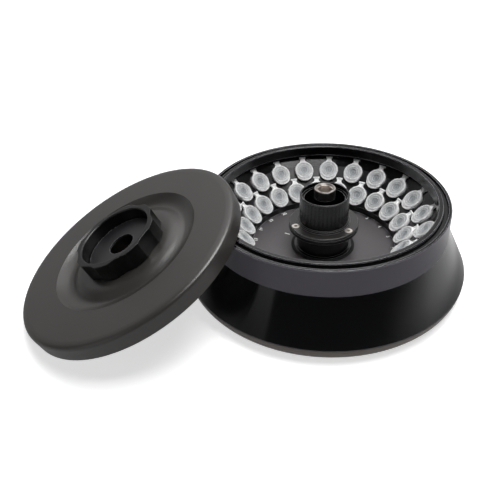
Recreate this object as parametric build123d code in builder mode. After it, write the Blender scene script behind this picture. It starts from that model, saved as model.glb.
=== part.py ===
"""Fixed angle rotor for 44 capped micro tubes, with its lid taken off and leaning on the rim.

Millimetres, +Z up.  The origin is the mouth of the drive shaft's bore, on the rotor's axis, in the plane
that the rotor stands on.
"""

from build123d import *
from math import cos, radians, sin, tan
import os

# --------------------------------------------------------------------- rotor body, outside
RIM_Z = 57.4                # top of the outer lip
RIM_R = 80.5                # outer lip
BAND_FOOT_Z = 39.7          # where the plain band under the rim ends and the flare starts
BAND_FOOT_R = 81.1
FLARE_Z = 11.2              # sharp edge of largest diameter
FLARE_R = 95.5
FOOT_R = 88.6               # outside of the ring that the rotor stands on
TUCK_R = 93.6               # mid point of the rounded underside between the flare's edge and the foot
TUCK_Z = 4.4
EDGE_BREAK = 0.5            # small chamfer on turned edges

# rotor body, rim: outer lip, seal groove, inner lip
LIP_WALL = 2.1
GROOVE_W = 3.0
GROOVE_DEPTH = 3.5
SEAL_T = 1.9                # rubber ring in the groove
SEAL_CROWN_R = 0.6
INNER_LIP_W = 3.4
INNER_LIP_RISE = 0.9        # inner lip above outer lip
INNER_LIP_H = 6.8
UNDERCUT_R = 76.0           # wall behind the outer tubes' hinges, under the inner lip

# rotor body, bowl and underside
FLOOR_Z = 18.8              # floor of the bowl
FLOOR_R = 49.6              # foot of the cone that carries the tubes
CONE_SLOPE = 44.0           # degrees above the horizontal
UNDERSIDE_R = 42.0          # turned recess below the bowl's floor
UNDERSIDE_DEPTH = 9.0

# ----------------------------------------------------------------------------------- tubes
TUBES_PER_ROW = 22
TUBE_ANGLE = 40.0           # between each bore and the rotor's axis
OUTER_CAP_R = 65.4          # centre of a cap's top, from the rotor's axis
OUTER_CAP_Z = 42.6
INNER_CAP_R = 53.6
INNER_CAP_Z = 31.2
ROW_PHASE = -1.8            # degrees, first outer tube from the Y axis
TUBE_LENGTH = 37.0          # cap's top to tip
CAP_RISE = 3.6              # cap's top above the seat of the tube's collar
CAP_R = 7.0
CAP_T = 2.1
CAP_BEAD_W = 1.3            # raised bead round the cap's top
CAP_BEAD_H = 0.35
CAP_BEAD_SLOPE = 0.4
CAP_WELL_R = 2.6            # shallow well in the middle of the cap
CAP_WELL_DEPTH = 0.7
CAP_PLUG_DEPTH = 1.0        # closed top of the hollow, below the seat
TUBE_COLLAR_R = 6.5
TUBE_COLLAR_T = 1.5
TUBE_R = 5.35
TUBE_STRAIGHT = 17.0        # straight part below the seat
TUBE_TIP_R = 1.9
TUBE_WALL = 1.0
HINGE_REACH = 11.0          # end of the folded hinge from the tube's axis
HINGE_W = 3.4
HINGE_END_W = 4.8
HINGE_END_L = 1.3
HINGE_T = 1.5
HINGE_LIFT = 0.2            # hinge above the cap's lower edge
HINGE_ROOT_ANGLE = 43.0     # where the strap's flared root leaves the cap
HINGE_NECK = 1.0            # end of the flared root beyond the cap
TAB_R = 6.4                 # lip for the thumb, opposite the hinge
TAB_SHIFT = 2.0             # centre of its curve from the tube's axis
TAB_T = 1.5
BORE_CLEARANCE = 0.2
SEAT_R = 7.3                # spot face round each bore
SEAT_SINK = 0.8             # spot face below the cone

# ------------------------------------------------------------------------------------- hub
NECK_R = 17.8
NECK_FOOT_R = 19.8          # disc that the neck stands on
NECK_FOOT_H = 1.2
FLANGE_R = 23.6
FLANGE_TOP_Z = 38.4
FLANGE_T = 1.8              # collar's flange
NECK_HEAD_T = 2.4           # head of the neck under the collar's flange
COLLAR_R = 16.4
COLLAR_TOP_Z = 59.2
COLLAR_BORE_R = 13.4        # inside the thread that takes the lid's sleeve
COLLAR_LIP_R = 15.4
COLLAR_LIP_DEPTH = 3.0
COLLAR_BORE_BOTTOM_Z = 42.0
COLLAR_STEP_R = 17.8        # low step where the collar leaves the flange
COLLAR_STEP_H = 1.4
COLLAR_NOTCH_W = 2.6        # notch in the collar's inner edge
COLLAR_NOTCH_HEADING = -40.0
SPIGOT_R = 16.0             # part of the hub inside the rotor body
NUT_R = 21.0
NUT_H = 4.5
NUT_SLOTS = 4
NUT_SLOT_W = 4.0
NUT_SLOT_DEPTH = 2.0
SHAFT_R = 10.0              # drive shaft's bore
SHAFT_BORE_L = 14.0
SHAFT_TIP_R = 7.5           # narrower bore above it, for the shaft's threaded tip
SHAFT_TIP_L = 10.0
DRIVE_SLOT_W = 6.0
DRIVE_SLOT_DEPTH = 4.0
FOOT_RING_W = 1.9
FOOT_RING_T = 1.0
HUB_SCREWS = 3
HUB_SCREW_PHASE = 85.0      # degrees from the X axis
HUB_SCREW_CIRCLE_R = 20.2
HUB_SCREW_R = 1.25
HUB_SCREW_HEAD_R = 2.6
HUB_SCREW_ANGLE = 90.0      # of the countersunk head
HUB_SCREW_KEY_R = 1.3       # corner radius of the hexagon socket
HUB_SCREW_KEY_DEPTH = 0.9
SPINDLE_R = 7.1
SPINDLE_TOP_Z = 57.6
CLAMP_HEAD_R = 7.1
CLAMP_HEAD_TOP_Z = 63.5
CLAMP_SHANK_R = 5.0
CLAMP_END_R = 4.0           # threaded end that reaches into the drive shaft's tip
CLAMP_END_L = 9.0
CLAMP_RIM_R = 6.2           # inside of the head's rim, where the lead-in cone starts
CLAMP_KEY_R = 5.2           # corner radius of the hexagon socket
CLAMP_KEY_DEPTH = 4.6
CLIP_R = 7.0
CLIP_T = 1.0
CLIP_GROOVE_R = 4.2
CLIP_ROOM_R = 8.6           # cavity round the clip, below the spindle sleeve
CLIP_ROOM_H = 5.0
RUNNING_FIT = 0.05          # radial, between a turning shaft and its bore
AIR = 0.3                   # gap between faces that turn past each other
LOCATING_FIT = 0.05         # radial, between fixed pieces

# ------------------------------------------------------------------------------------- lid
LID_TILT = 23.75            # degrees from lying flat
LID_HEADING = -160.8        # direction that the lid's axis leans to
LID_X = -126.0              # centre of the lid's top
LID_Y = -45.2
LID_H = 10.9                # height of the skirt
LID_PLATE = 2.0
LID_SKIRT_T = 2.4
LID_GAP = 0.2               # between the skirt and the outer lip when the lid is on
LID_EDGE_W = 5.0            # width of the rounded border, in plan
LID_EDGE_H = 2.8            # and its height
DISH_R = 51.4
DISH_FLOOR_R = 42.0
DISH_DEPTH = 4.6
BOSS_R = 31.0
BOSS_DROP = 1.0             # boss under the knob, below the lid's top

# ------------------------------------------------------------------------------------ knob
KNOB_R = 28.4
KNOB_H = 12.0
KNOB_TAPER = 1.0            # degrees
KNOB_LOBES = 8
KNOB_PHASE = 25.0           # degrees, a lobe's corner from the lid's own X axis
SCALLOP_R = 22.0
SCALLOP_DEPTH = 1.6
CUP_R = 24.0
CUP_DEPTH = 9.4
CUP_FOOT_BEVEL = 0.8
CUP_MOUTH_BEVEL = 0.6
KNOB_WASHER_T = 1.2
SLEEVE_R = 13.0             # hollow screw under the knob
SLEEVE_BORE_R = 8.7
SLEEVE_BELOW = 21.0         # below the lid's top
RING_R = 16.0
RING_T = 1.2
RING_GROOVE_R = 12.1
LID_SEAL_R = 24.0           # centre line of the seal in the lid's underside
LID_SEAL_SECTION_R = 1.2

# -------------------------------------------------------------------------- derived places
theta = radians(TUBE_ANGLE)
groove_outer_r = RIM_R - LIP_WALL
groove_inner_r = groove_outer_r - GROOVE_W
bowl_mouth_r = groove_inner_r - INNER_LIP_W
inner_lip_top = RIM_Z + INNER_LIP_RISE
inner_lip_bottom = inner_lip_top - INNER_LIP_H
outer_seat_r = OUTER_CAP_R + CAP_RISE * sin(theta)
outer_seat_z = OUTER_CAP_Z - CAP_RISE * cos(theta)
inner_seat_r = INNER_CAP_R + CAP_RISE * sin(theta)
inner_seat_z = INNER_CAP_Z - CAP_RISE * cos(theta)
tip_centre = CAP_RISE - TUBE_LENGTH + TUBE_TIP_R
cone_length = -TUBE_STRAIGHT - tip_centre
flange_bottom_z = FLANGE_TOP_Z - FLANGE_T
neck_head_z = flange_bottom_z - NECK_HEAD_T
shaft_tip_z = SHAFT_BORE_L + SHAFT_TIP_L
pitch = 360.0 / TUBES_PER_ROW
lid_r = groove_outer_r - LID_GAP


def cone_z(r):
    """Height of the cone that carries the tubes, a spot face's depth above the outer row's seats."""
    rise = SEAT_SINK / cos(radians(CONE_SLOPE))
    return outer_seat_z + rise + (r - outer_seat_r) * tan(radians(CONE_SLOPE))


def seat_plane(r, z, azimuth):
    """Plane on a tube's seat: Z out of the bore, Y outwards along the hinge."""
    a = radians(azimuth)
    return Plane(
        origin=(r * cos(a), r * sin(a), z),
        x_dir=(sin(a), -cos(a), 0),
        z_dir=(-sin(theta) * cos(a), -sin(theta) * sin(a), cos(theta)),
    )


outer_seats = [
    seat_plane(outer_seat_r, outer_seat_z, 90 + ROW_PHASE + i * pitch)
    for i in range(TUBES_PER_ROW)
]
inner_seats = [
    seat_plane(inner_seat_r, inner_seat_z, 90 + ROW_PHASE + (i - 0.5) * pitch)
    for i in range(TUBES_PER_ROW)
]

# The lid stands on the lowest point of its skirt, so its centre's height follows from its tilt.
tilt = radians(LID_TILT)
heading = radians(LID_HEADING)
LID_Z = lid_r * sin(tilt) + LID_H * cos(tilt)
lid_plane = Plane(
    origin=(LID_X, LID_Y, LID_Z),
    x_dir=(-sin(heading), cos(heading), 0),
    z_dir=(sin(tilt) * cos(heading), sin(tilt) * sin(heading), cos(tilt)),
)
lid_section = Plane(origin=lid_plane.origin, x_dir=lid_plane.x_dir, z_dir=-lid_plane.y_dir)
lid_axis = Axis(lid_plane.origin, lid_plane.z_dir)
knob_base = AIR - BOSS_DROP
knob_top = knob_base + KNOB_H
cup_floor = knob_top - CUP_DEPTH
lid_underside = -BOSS_DROP - LID_PLATE

os.makedirs("parts", exist_ok=True)


def save(builder, name):
    """Label a finished piece and write it."""
    builder.part.label = name
    export_step(builder.part, f"parts/{name}.step")


# ------------------------------------------------------------------------------ rotor body
# One aluminium piece, turned to this section and then drilled for the tubes.
with BuildPart() as rotor_body:
    with BuildSketch(Plane.XZ):
        with BuildLine():
            Polyline(
                (FOOT_R, 0),
                (UNDERSIDE_R, 0),
                (UNDERSIDE_R, UNDERSIDE_DEPTH),
                (SPIGOT_R + LOCATING_FIT, UNDERSIDE_DEPTH),
                (SPIGOT_R + LOCATING_FIT, FLOOR_Z),
                (FLOOR_R, FLOOR_Z),
                (FLOOR_R, cone_z(FLOOR_R)),
                (UNDERCUT_R, cone_z(UNDERCUT_R)),
                (UNDERCUT_R, inner_lip_bottom),
                (bowl_mouth_r, inner_lip_bottom),
                (bowl_mouth_r, inner_lip_top - EDGE_BREAK),
                (bowl_mouth_r + EDGE_BREAK, inner_lip_top),
                (groove_inner_r - EDGE_BREAK, inner_lip_top),
                (groove_inner_r, inner_lip_top - EDGE_BREAK),
                (groove_inner_r, RIM_Z - GROOVE_DEPTH),
                (groove_outer_r, RIM_Z - GROOVE_DEPTH),
                (groove_outer_r, RIM_Z),
                (RIM_R - EDGE_BREAK, RIM_Z),
                (RIM_R, RIM_Z - EDGE_BREAK),
                (BAND_FOOT_R, BAND_FOOT_Z),
                (FLARE_R, FLARE_Z),
            )
            ThreePointArc((FLARE_R, FLARE_Z), (TUCK_R, TUCK_Z), (FOOT_R, 0))
        make_face()
    revolve(axis=Axis.Z)
    with Locations(*outer_seats, *inner_seats):
        Cylinder(SEAT_R, 2 * CAP_RISE, align=(Align.CENTER, Align.CENTER, Align.MIN), mode=Mode.SUBTRACT)
        with Locations((0, 0, -TUBE_STRAIGHT / 2)):
            Cylinder(TUBE_R + BORE_CLEARANCE, TUBE_STRAIGHT, mode=Mode.SUBTRACT)
        with Locations((0, 0, -TUBE_STRAIGHT - cone_length / 2)):
            Cone(TUBE_TIP_R + BORE_CLEARANCE, TUBE_R + BORE_CLEARANCE, cone_length, mode=Mode.SUBTRACT)
        with Locations((0, 0, tip_centre)):
            Sphere(TUBE_TIP_R + BORE_CLEARANCE, mode=Mode.SUBTRACT)
save(rotor_body, "rotor_body")

# Rubber ring in the rim's groove, slightly crowned.
with BuildPart() as rim_seal:
    with BuildSketch(Plane.XZ):
        with Locations(((groove_inner_r + groove_outer_r) / 2, RIM_Z - GROOVE_DEPTH + SEAL_T / 2)):
            Rectangle(GROOVE_W - 2 * LOCATING_FIT, SEAL_T)
    revolve(axis=Axis.Z)
    fillet(rim_seal.edges().group_by(Axis.Z)[-1], SEAL_CROWN_R)
save(rim_seal, "rim_seal")


# ----------------------------------------------------------------------------------- tubes
# A tube and its cap are moulded in one piece; the cap is pressed home, so the tube is closed and hollow.
with BuildPart() as tube:
    with BuildSketch(Plane.XZ):
        with BuildLine():
            Polyline(
                (0, CAP_RISE - CAP_WELL_DEPTH),
                (CAP_WELL_R, CAP_RISE - CAP_WELL_DEPTH),
                (CAP_WELL_R + CAP_BEAD_SLOPE, CAP_RISE - CAP_BEAD_H),
                (CAP_R - CAP_BEAD_W - CAP_BEAD_SLOPE, CAP_RISE - CAP_BEAD_H),
                (CAP_R - CAP_BEAD_W, CAP_RISE),
                (CAP_R - CAP_BEAD_SLOPE, CAP_RISE),
                (CAP_R, CAP_RISE - CAP_BEAD_SLOPE),
                (CAP_R, CAP_RISE - CAP_T),
                (TUBE_COLLAR_R, CAP_RISE - CAP_T),
                (TUBE_COLLAR_R, 0),
                (TUBE_R, 0),
                (TUBE_R, -TUBE_STRAIGHT),
                (TUBE_TIP_R, tip_centre),
            )
            RadiusArc((TUBE_TIP_R, tip_centre), (0, tip_centre - TUBE_TIP_R), TUBE_TIP_R)
            Line((0, tip_centre - TUBE_TIP_R), (0, CAP_RISE - CAP_WELL_DEPTH))
        make_face()
        with BuildLine():
            Polyline(
                (0, -CAP_PLUG_DEPTH),
                (TUBE_R - TUBE_WALL, -CAP_PLUG_DEPTH),
                (TUBE_R - TUBE_WALL, -TUBE_STRAIGHT),
                (TUBE_TIP_R - TUBE_WALL / 2, tip_centre),
                (0, tip_centre),
                close=True,
            )
        make_face(mode=Mode.SUBTRACT)
    revolve(axis=Axis.Z)
    # folded hinge: a strap from the cap with a wider bend at its end; a lip for the thumb opposite
    root_x = CAP_R * sin(radians(HINGE_ROOT_ANGLE))
    root_y = CAP_R * cos(radians(HINGE_ROOT_ANGLE))
    with BuildSketch(Plane.XY.offset(CAP_RISE - CAP_T + HINGE_LIFT)):
        with BuildLine():
            Polyline(
                (-HINGE_W / 2, HINGE_REACH - HINGE_END_L),
                (-HINGE_W / 2, CAP_R + HINGE_NECK),
                (-root_x, root_y),
                (0, CAP_R - CAP_BEAD_W - HINGE_NECK),
                (root_x, root_y),
                (HINGE_W / 2, CAP_R + HINGE_NECK),
                (HINGE_W / 2, HINGE_REACH - HINGE_END_L),
                close=True,
            )
        make_face()
        with Locations((0, HINGE_REACH - HINGE_END_L / 2)):
            Rectangle(HINGE_END_W, HINGE_END_L)
    extrude(amount=HINGE_T)
    with BuildSketch(Plane.XY.offset(CAP_RISE - CAP_T + HINGE_LIFT)):
        with Locations((0, -TAB_SHIFT)):
            Circle(TAB_R)
        Circle(CAP_R - CAP_BEAD_W, mode=Mode.SUBTRACT)
    extrude(amount=TAB_T)
for row, seats in (("outer", outer_seats), ("inner", inner_seats)):
    for i, seat in enumerate(seats):
        piece = tube.part.moved(seat.location)
        piece.label = f"tube_{row}_{i + 1:02d}"
        export_step(piece, f"parts/{piece.label}.step")

# ------------------------------------------------------------------------------------- hub
# Lower hub: the neck in the bowl and the spigot through the rotor body, with the drive shaft's bore
# and its cross slot.
with BuildPart() as hub_base:
    with BuildSketch(Plane.XZ):
        with BuildLine():
            Polyline(
                (SHAFT_R, 0),
                (SPIGOT_R, 0),
                (SPIGOT_R, FLOOR_Z),
                (NECK_FOOT_R, FLOOR_Z),
                (NECK_FOOT_R, FLOOR_Z + NECK_FOOT_H),
                (NECK_R, FLOOR_Z + NECK_FOOT_H),
                (NECK_R, neck_head_z),
                (FLANGE_R, neck_head_z),
                (FLANGE_R, flange_bottom_z),
                (CLIP_ROOM_R, flange_bottom_z),
                (CLIP_ROOM_R, flange_bottom_z - CLIP_ROOM_H),
                (CLAMP_SHANK_R + RUNNING_FIT, flange_bottom_z - CLIP_ROOM_H),
                (CLAMP_SHANK_R + RUNNING_FIT, shaft_tip_z),
                (SHAFT_TIP_R, shaft_tip_z),
                (SHAFT_TIP_R, SHAFT_BORE_L),
                (SHAFT_R, SHAFT_BORE_L),
                close=True,
            )
        make_face()
    revolve(axis=Axis.Z)
    Box(
        2 * SPIGOT_R,
        DRIVE_SLOT_W,
        DRIVE_SLOT_DEPTH,
        align=(Align.CENTER, Align.CENTER, Align.MIN),
        mode=Mode.SUBTRACT,
    )
    with Locations((0, 0, flange_bottom_z)):
        with PolarLocations(HUB_SCREW_CIRCLE_R, HUB_SCREWS, start_angle=HUB_SCREW_PHASE):
            Hole(HUB_SCREW_R + LOCATING_FIT, NECK_HEAD_T)
save(hub_base, "hub_base")

# Ring nut that draws the lower hub down on the bowl's floor, with slots for a pin spanner.
with BuildPart() as hub_nut:
    with BuildSketch(Plane.XY.offset(UNDERSIDE_DEPTH - NUT_H)):
        Circle(NUT_R)
        Circle(SPIGOT_R + LOCATING_FIT, mode=Mode.SUBTRACT)
    extrude(amount=NUT_H)
    with Locations((0, 0, UNDERSIDE_DEPTH - NUT_H + NUT_SLOT_DEPTH / 2)):
        with PolarLocations((NUT_R + SPIGOT_R) / 2 + NUT_SLOT_DEPTH, NUT_SLOTS):
            Box(NUT_R - SPIGOT_R, NUT_SLOT_W, NUT_SLOT_DEPTH, mode=Mode.SUBTRACT)
save(hub_nut, "hub_nut")

# Sealing ring on the bowl's floor, round the neck's foot.
with BuildPart() as foot_ring:
    with BuildSketch(Plane.XY.offset(FLOOR_Z)):
        Circle(NECK_FOOT_R + LOCATING_FIT + FOOT_RING_W)
        Circle(NECK_FOOT_R + LOCATING_FIT, mode=Mode.SUBTRACT)
    extrude(amount=FOOT_RING_T)
    fillet(foot_ring.edges().group_by(Axis.Z)[-1].sort_by(SortBy.RADIUS)[-1], FOOT_RING_T / 2)
save(foot_ring, "foot_ring")

# Collar and flange, turned in one piece; the lid's sleeve screws into the collar.
with BuildPart() as hub_collar:
    with BuildSketch(Plane.XZ):
        with BuildLine():
            Polyline(
                (SPINDLE_R + LOCATING_FIT, flange_bottom_z),
                (FLANGE_R, flange_bottom_z),
                (FLANGE_R, FLANGE_TOP_Z - EDGE_BREAK),
                (FLANGE_R - EDGE_BREAK, FLANGE_TOP_Z),
                (COLLAR_STEP_R, FLANGE_TOP_Z),
                (COLLAR_STEP_R, FLANGE_TOP_Z + COLLAR_STEP_H),
                (COLLAR_R, FLANGE_TOP_Z + COLLAR_STEP_H),
                (COLLAR_R, COLLAR_TOP_Z - EDGE_BREAK),
                (COLLAR_R - EDGE_BREAK, COLLAR_TOP_Z),
                (COLLAR_LIP_R, COLLAR_TOP_Z),
                (COLLAR_LIP_R, COLLAR_TOP_Z - COLLAR_LIP_DEPTH),
                (COLLAR_BORE_R, COLLAR_TOP_Z - COLLAR_LIP_DEPTH),
                (COLLAR_BORE_R, COLLAR_BORE_BOTTOM_Z),
                (SPINDLE_R + LOCATING_FIT, COLLAR_BORE_BOTTOM_Z),
                close=True,
            )
        make_face()
    revolve(axis=Axis.Z)
    with Locations((0, 0, FLANGE_TOP_Z)):
        with PolarLocations(HUB_SCREW_CIRCLE_R, HUB_SCREWS, start_angle=HUB_SCREW_PHASE):
            CounterSinkHole(
                HUB_SCREW_R + LOCATING_FIT,
                HUB_SCREW_HEAD_R + LOCATING_FIT,
                depth=FLANGE_T,
                counter_sink_angle=HUB_SCREW_ANGLE,
            )
    with Locations((0, 0, COLLAR_TOP_Z - COLLAR_LIP_DEPTH)):
        with PolarLocations(COLLAR_BORE_R, 1, start_angle=COLLAR_NOTCH_HEADING):
            Box(COLLAR_LIP_R - COLLAR_BORE_R, COLLAR_NOTCH_W, 2 * COLLAR_LIP_DEPTH, mode=Mode.SUBTRACT)
save(hub_collar, "hub_collar")

# Three countersunk socket screws through both flanges, their heads flush with the collar's flange.
hub_screw_head_h = (HUB_SCREW_HEAD_R - HUB_SCREW_R) / tan(radians(HUB_SCREW_ANGLE / 2))
with BuildPart() as hub_screws:
    with Locations((0, 0, FLANGE_TOP_Z)):
        with PolarLocations(HUB_SCREW_CIRCLE_R, HUB_SCREWS, start_angle=HUB_SCREW_PHASE):
            Cone(
                HUB_SCREW_R,
                HUB_SCREW_HEAD_R,
                hub_screw_head_h,
                align=(Align.CENTER, Align.CENTER, Align.MAX),
            )
            Cylinder(HUB_SCREW_R, FLANGE_T + NECK_HEAD_T, align=(Align.CENTER, Align.CENTER, Align.MAX))
    with BuildSketch(Plane.XY.offset(FLANGE_TOP_Z)):
        with PolarLocations(HUB_SCREW_CIRCLE_R, HUB_SCREWS, start_angle=HUB_SCREW_PHASE):
            RegularPolygon(HUB_SCREW_KEY_R, 6)
    extrude(amount=-HUB_SCREW_KEY_DEPTH, mode=Mode.SUBTRACT)
save(hub_screws, "hub_screws")

# Post inside the collar that guides the clamping screw.
with BuildPart() as spindle_sleeve:
    with BuildSketch(Plane.XY.offset(flange_bottom_z)):
        Circle(SPINDLE_R)
        Circle(CLAMP_SHANK_R + RUNNING_FIT, mode=Mode.SUBTRACT)
    extrude(amount=SPINDLE_TOP_Z - flange_bottom_z)
    chamfer(spindle_sleeve.edges().group_by(Axis.Z)[-1].sort_by(SortBy.RADIUS)[-1], EDGE_BREAK)
save(spindle_sleeve, "spindle_sleeve")

# Clamping screw: socket head, shank in the sleeve, thinner threaded end above the drive shaft's bore.
clip_z = flange_bottom_z - AIR - CLIP_T
with BuildPart() as clamping_screw:
    with BuildSketch(Plane.XZ):
        with BuildLine():
            Polyline(
                (0, shaft_tip_z - CLAMP_END_L),
                (CLAMP_END_R - EDGE_BREAK, shaft_tip_z - CLAMP_END_L),
                (CLAMP_END_R, shaft_tip_z - CLAMP_END_L + EDGE_BREAK),
                (CLAMP_END_R, shaft_tip_z),
                (CLAMP_SHANK_R, shaft_tip_z + CLAMP_SHANK_R - CLAMP_END_R),
                (CLAMP_SHANK_R, clip_z),
                (CLIP_GROOVE_R, clip_z),
                (CLIP_GROOVE_R, clip_z + CLIP_T),
                (CLAMP_SHANK_R, clip_z + CLIP_T),
                (CLAMP_SHANK_R, SPINDLE_TOP_Z + AIR),
                (CLAMP_HEAD_R, SPINDLE_TOP_Z + AIR),
                (CLAMP_HEAD_R, CLAMP_HEAD_TOP_Z - EDGE_BREAK),
                (CLAMP_HEAD_R - EDGE_BREAK, CLAMP_HEAD_TOP_Z),
                (CLAMP_RIM_R, CLAMP_HEAD_TOP_Z),
                (CLAMP_KEY_R, CLAMP_HEAD_TOP_Z - CLAMP_RIM_R + CLAMP_KEY_R),
                (0, CLAMP_HEAD_TOP_Z - CLAMP_RIM_R + CLAMP_KEY_R),
                close=True,
            )
        make_face()
    revolve(axis=Axis.Z)
    with BuildSketch(Plane.XY.offset(CLAMP_HEAD_TOP_Z)):
        RegularPolygon(CLAMP_KEY_R, 6)
    extrude(amount=-CLAMP_KEY_DEPTH, mode=Mode.SUBTRACT)
save(clamping_screw, "clamping_screw")

# Snap ring in the clamping screw's groove, open at one side.
with BuildPart() as screw_clip:
    with BuildSketch(Plane.XY.offset(clip_z)):
        Circle(CLIP_R)
        Circle(CLIP_GROOVE_R, mode=Mode.SUBTRACT)
        with Locations((CLIP_R, 0)):
            Rectangle(2 * (CLIP_R - CLIP_GROOVE_R) + CLIP_T, CLIP_GROOVE_R, mode=Mode.SUBTRACT)
    extrude(amount=CLIP_T)
save(screw_clip, "screw_clip")

# ------------------------------------------------------------------------------------- lid
# One aluminium piece: rounded border, flat top, shallow round dish with a boss for the knob, and a skirt.
with BuildPart() as lid:
    with BuildSketch(lid_section):
        with BuildLine():
            Line((SLEEVE_R + RUNNING_FIT, -BOSS_DROP), (BOSS_R, -BOSS_DROP))
            Spline(
                (BOSS_R, -BOSS_DROP),
                (DISH_FLOOR_R, -DISH_DEPTH),
                (DISH_R, 0),
                tangents=((1, 0), (1, 0.9)),
            )
            Line((DISH_R, 0), (lid_r - LID_EDGE_W, 0))
            Spline(
                (lid_r - LID_EDGE_W, 0),
                (lid_r, -LID_EDGE_H),
                tangents=((1, -0.05), (0, -1)),
            )
            Polyline(
                (lid_r, -LID_EDGE_H),
                (lid_r, -LID_H),
                (lid_r - LID_SKIRT_T, -LID_H),
                (lid_r - LID_SKIRT_T, -LID_EDGE_H - LID_PLATE / 2),
                (lid_r - LID_EDGE_W, -LID_PLATE),
                (DISH_R, -LID_PLATE),
            )
            Spline(
                (DISH_R, -LID_PLATE),
                (DISH_FLOOR_R, -DISH_DEPTH - LID_PLATE),
                (BOSS_R, lid_underside),
                tangents=((-1, -0.9), (-1, 0)),
            )
            Polyline(
                (BOSS_R, lid_underside),
                (SLEEVE_R + RUNNING_FIT, lid_underside),
                (SLEEVE_R + RUNNING_FIT, -BOSS_DROP),
            )
        make_face()
    revolve(axis=lid_axis)
save(lid, "lid")

# Sealing ring under the lid's boss, round the knob's sleeve.
with BuildPart() as lid_seal:
    with BuildSketch(lid_section):
        with Locations((LID_SEAL_R, lid_underside - LID_SEAL_SECTION_R)):
            Circle(LID_SEAL_SECTION_R)
    revolve(axis=lid_axis)
save(lid_seal, "lid_seal")

# ------------------------------------------------------------------------------------ knob
# Lobed hand wheel with a deep cup.  Its outline is a circle with shallow scallops, drawn in towards the top.
with BuildPart() as knob:
    with BuildSketch(lid_plane.offset(knob_base)):
        Circle(KNOB_R)
        with PolarLocations(
            KNOB_R + SCALLOP_R - SCALLOP_DEPTH, KNOB_LOBES, start_angle=KNOB_PHASE + 180 / KNOB_LOBES
        ):
            Circle(SCALLOP_R, mode=Mode.SUBTRACT)
    extrude(amount=KNOB_H, taper=KNOB_TAPER)
    with BuildSketch(lid_section):
        with BuildLine():
            Polyline(
                (0, knob_base),
                (SLEEVE_R + LOCATING_FIT, knob_base),
                (SLEEVE_R + LOCATING_FIT, cup_floor),
                (CUP_R - CUP_FOOT_BEVEL, cup_floor),
                (CUP_R, cup_floor + CUP_FOOT_BEVEL),
                (CUP_R, knob_top - CUP_MOUTH_BEVEL),
                (CUP_R + CUP_MOUTH_BEVEL, knob_top),
                (0, knob_top),
                close=True,
            )
        make_face()
    revolve(axis=lid_axis, mode=Mode.SUBTRACT)
save(knob, "knob")

# Disc on the bottom of the cup, over the sleeve's head.
with BuildPart() as knob_washer:
    with BuildSketch(lid_plane.offset(cup_floor)):
        Circle(CUP_R - CUP_FOOT_BEVEL - LOCATING_FIT)
        Circle(SLEEVE_BORE_R, mode=Mode.SUBTRACT)
    extrude(amount=KNOB_WASHER_T)
save(knob_washer, "knob_washer")

# Hollow screw: carried by the knob, through the lid, into the hub's collar.
ring_top = lid_underside - AIR
with BuildPart() as threaded_sleeve:
    with BuildSketch(lid_section):
        with BuildLine():
            Polyline(
                (SLEEVE_BORE_R, cup_floor),
                (SLEEVE_R, cup_floor),
                (SLEEVE_R, ring_top),
                (RING_GROOVE_R, ring_top),
                (RING_GROOVE_R, ring_top - RING_T),
                (SLEEVE_R, ring_top - RING_T),
                (SLEEVE_R, -SLEEVE_BELOW + EDGE_BREAK),
                (SLEEVE_R - EDGE_BREAK, -SLEEVE_BELOW),
                (SLEEVE_BORE_R, -SLEEVE_BELOW),
                close=True,
            )
        make_face()
    revolve(axis=lid_axis)
save(threaded_sleeve, "threaded_sleeve")

# Snap ring that keeps the sleeve in the lid, open at one side.
with BuildPart() as retaining_ring:
    with BuildSketch(lid_plane.offset(ring_top - RING_T)):
        Circle(RING_R)
        Circle(RING_GROOVE_R, mode=Mode.SUBTRACT)
        with Locations((RING_R, 0)):
            Rectangle(2 * (RING_R - RING_GROOVE_R) + RING_T, RING_GROOVE_R / 2, mode=Mode.SUBTRACT)
    extrude(amount=RING_T)
save(retaining_ring, "retaining_ring")
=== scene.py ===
"""Looks for the fixed angle rotor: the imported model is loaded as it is, and each piece gets its finish."""

import math

import bmesh
import bpy
from mathutils import Matrix, Vector


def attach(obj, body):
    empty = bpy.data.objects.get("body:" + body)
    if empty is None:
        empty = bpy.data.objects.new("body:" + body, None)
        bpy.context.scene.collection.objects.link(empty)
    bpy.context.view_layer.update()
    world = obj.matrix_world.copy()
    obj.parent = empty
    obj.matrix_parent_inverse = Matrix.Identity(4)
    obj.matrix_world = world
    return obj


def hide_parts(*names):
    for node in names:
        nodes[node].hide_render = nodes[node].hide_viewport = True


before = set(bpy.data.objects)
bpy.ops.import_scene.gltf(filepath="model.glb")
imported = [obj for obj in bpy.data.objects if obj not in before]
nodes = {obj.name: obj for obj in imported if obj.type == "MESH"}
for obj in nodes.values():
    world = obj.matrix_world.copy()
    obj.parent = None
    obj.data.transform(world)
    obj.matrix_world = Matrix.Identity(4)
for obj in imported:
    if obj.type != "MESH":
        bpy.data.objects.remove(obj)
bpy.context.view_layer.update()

# ------------------------------------------------------------------------- studio and camera
# White backdrop paper that runs on to the horizon, under a wide soft box overhead, a second one high
# behind and a weak one low at the front left, in a faint even sky; gloss also sees a pale wall behind.
# The camera stands in front of the rotor and looks down on it at 36 degrees.
MM = 0.001
CAMERA_PLACE = (0.0, -319.4 * MM, 246.2 * MM)
CAMERA_YAW = -0.16042       # radians, to the left of the rotor's axis
CAMERA_PITCH = 0.63009      # radians below the horizontal
CAMERA_ROLL = -0.04973
CAMERA_NEAR = 10 * MM
FOCAL_PX = 554.41
PICTURE_PX = 500.0
SENSOR_MM = 36.0
WHITE_HEX = "#ffffff"
SKY_LIGHT = 0.05
WALL_IN_GLOSS = 0.40        # the pale wall behind, as the object's gloss shows it
WALL_RISE = (0.0, 0.6)      # how far a ray heads backwards, from no wall to all wall
FLOOR_SIZE = 6.0
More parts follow.
